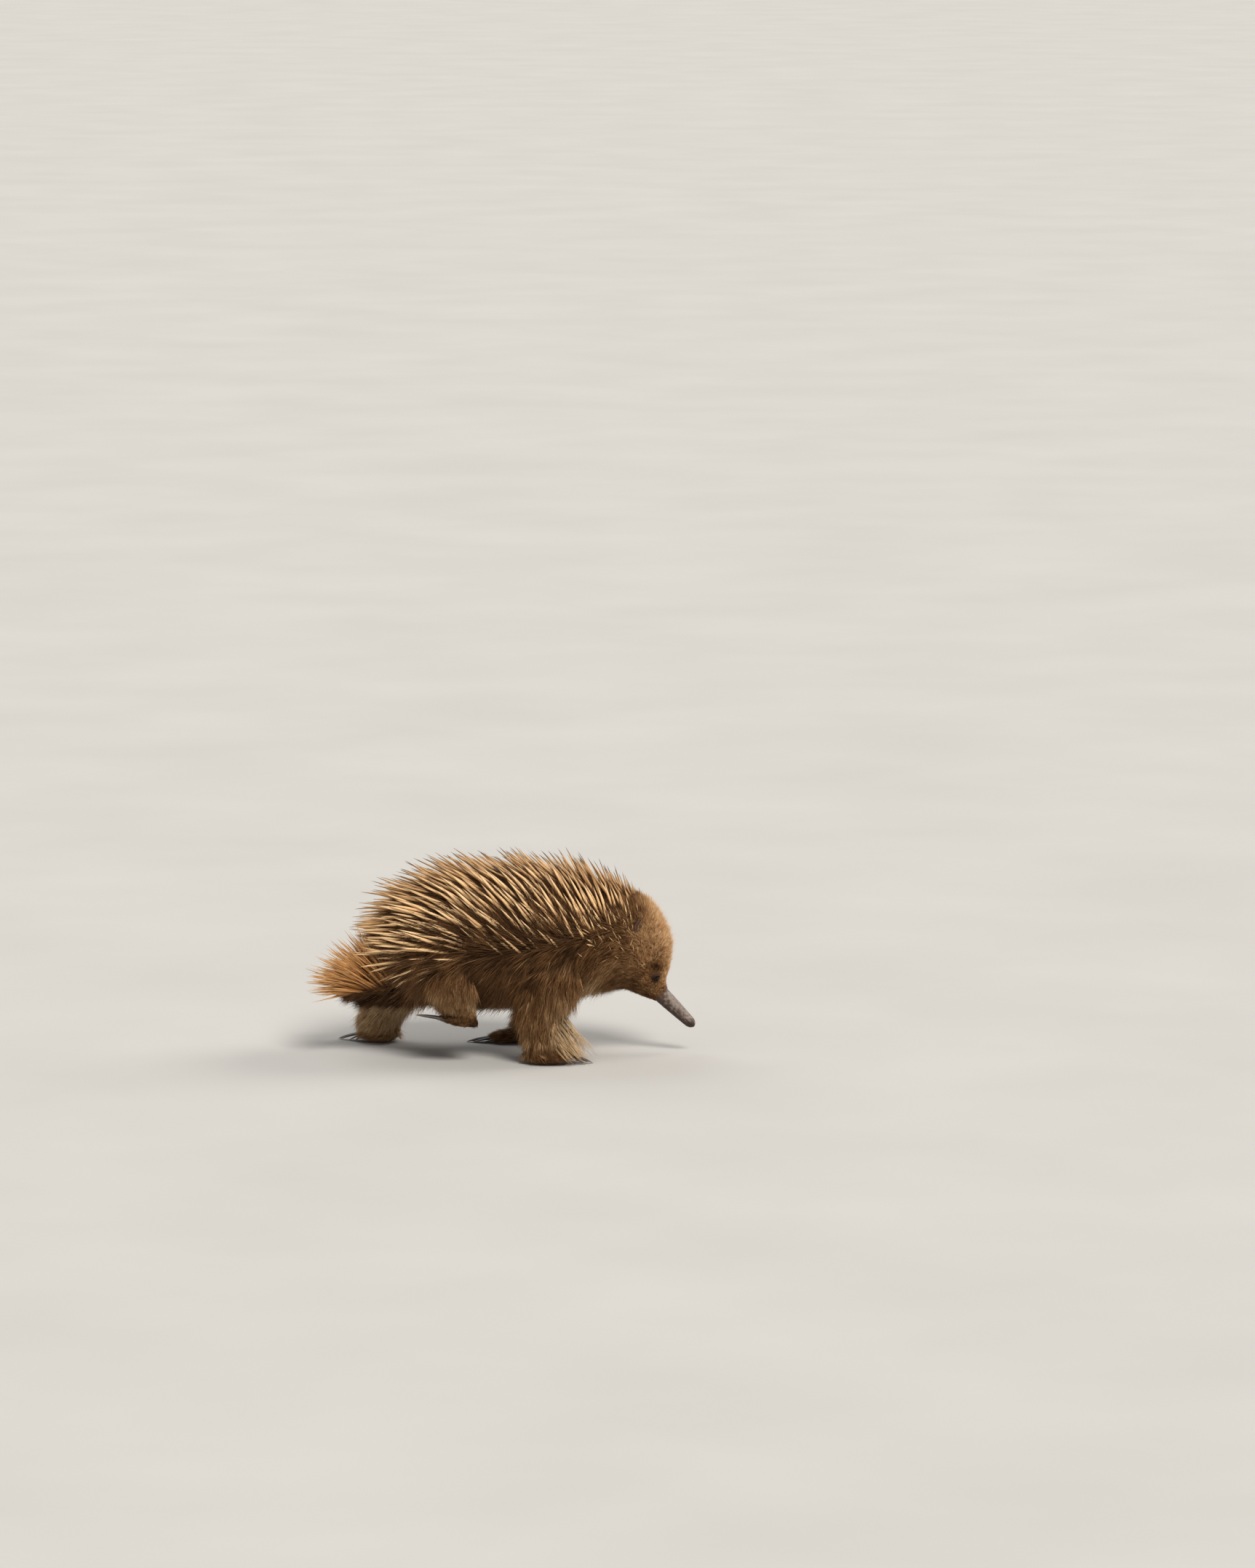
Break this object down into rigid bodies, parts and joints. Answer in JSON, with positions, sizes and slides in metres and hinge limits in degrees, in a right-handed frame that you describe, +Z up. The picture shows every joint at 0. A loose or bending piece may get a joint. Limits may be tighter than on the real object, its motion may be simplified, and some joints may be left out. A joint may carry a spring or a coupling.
{
  "type": "short-beaked echidna",
  "caption": "Life-size still model of a short-beaked echidna in mid stride, with its spines, long beak and digging claws, that stands on three feet.",
  "frame": {"origin": "on the floor under the middle of the animal's bounding box", "axes": "+X towards the tip of the beak, +Y to the animal's left, +Z up from the floor"},
  "size_m": [0.4096, 0.1967, 0.2279],
  "materials": {
    "spines": "smooth horn, cream with darker tips",
    "tail_tuft": "fine orange-tan spines",
    "coat": "dense brown fur",
    "face_fur": "short fur, paler on the crown",
    "beak_skin": "bare grey-brown skin",
    "ear_skin": "bare dark skin",
    "paw_skin": "wrinkled brown skin",
    "claws": "dark horn",
    "eye": "wet black"
  },
  "bodies": {
    "root": {"torso": "spines", "neck": "coat", "head": "face_fur", "beak": "beak_skin", "ear_right": "ear_skin", "ear_left": "ear_skin", "eye_right": "eye", "eye_left": "eye", "tail": "tail_tuft", "upper_foreleg_right": "coat", "forearm_right": "coat", "forepaw_right": "claws", "upper_foreleg_left": "coat", "forearm_left": "coat", "forepaw_left": "claws", "thigh_right": "coat", "shank_right": "coat", "hindpaw_right": "paw_skin", "thigh_left": "coat", "shank_left": "coat", "hindpaw_left": "paw_skin"}
  },
  "joints": []
}
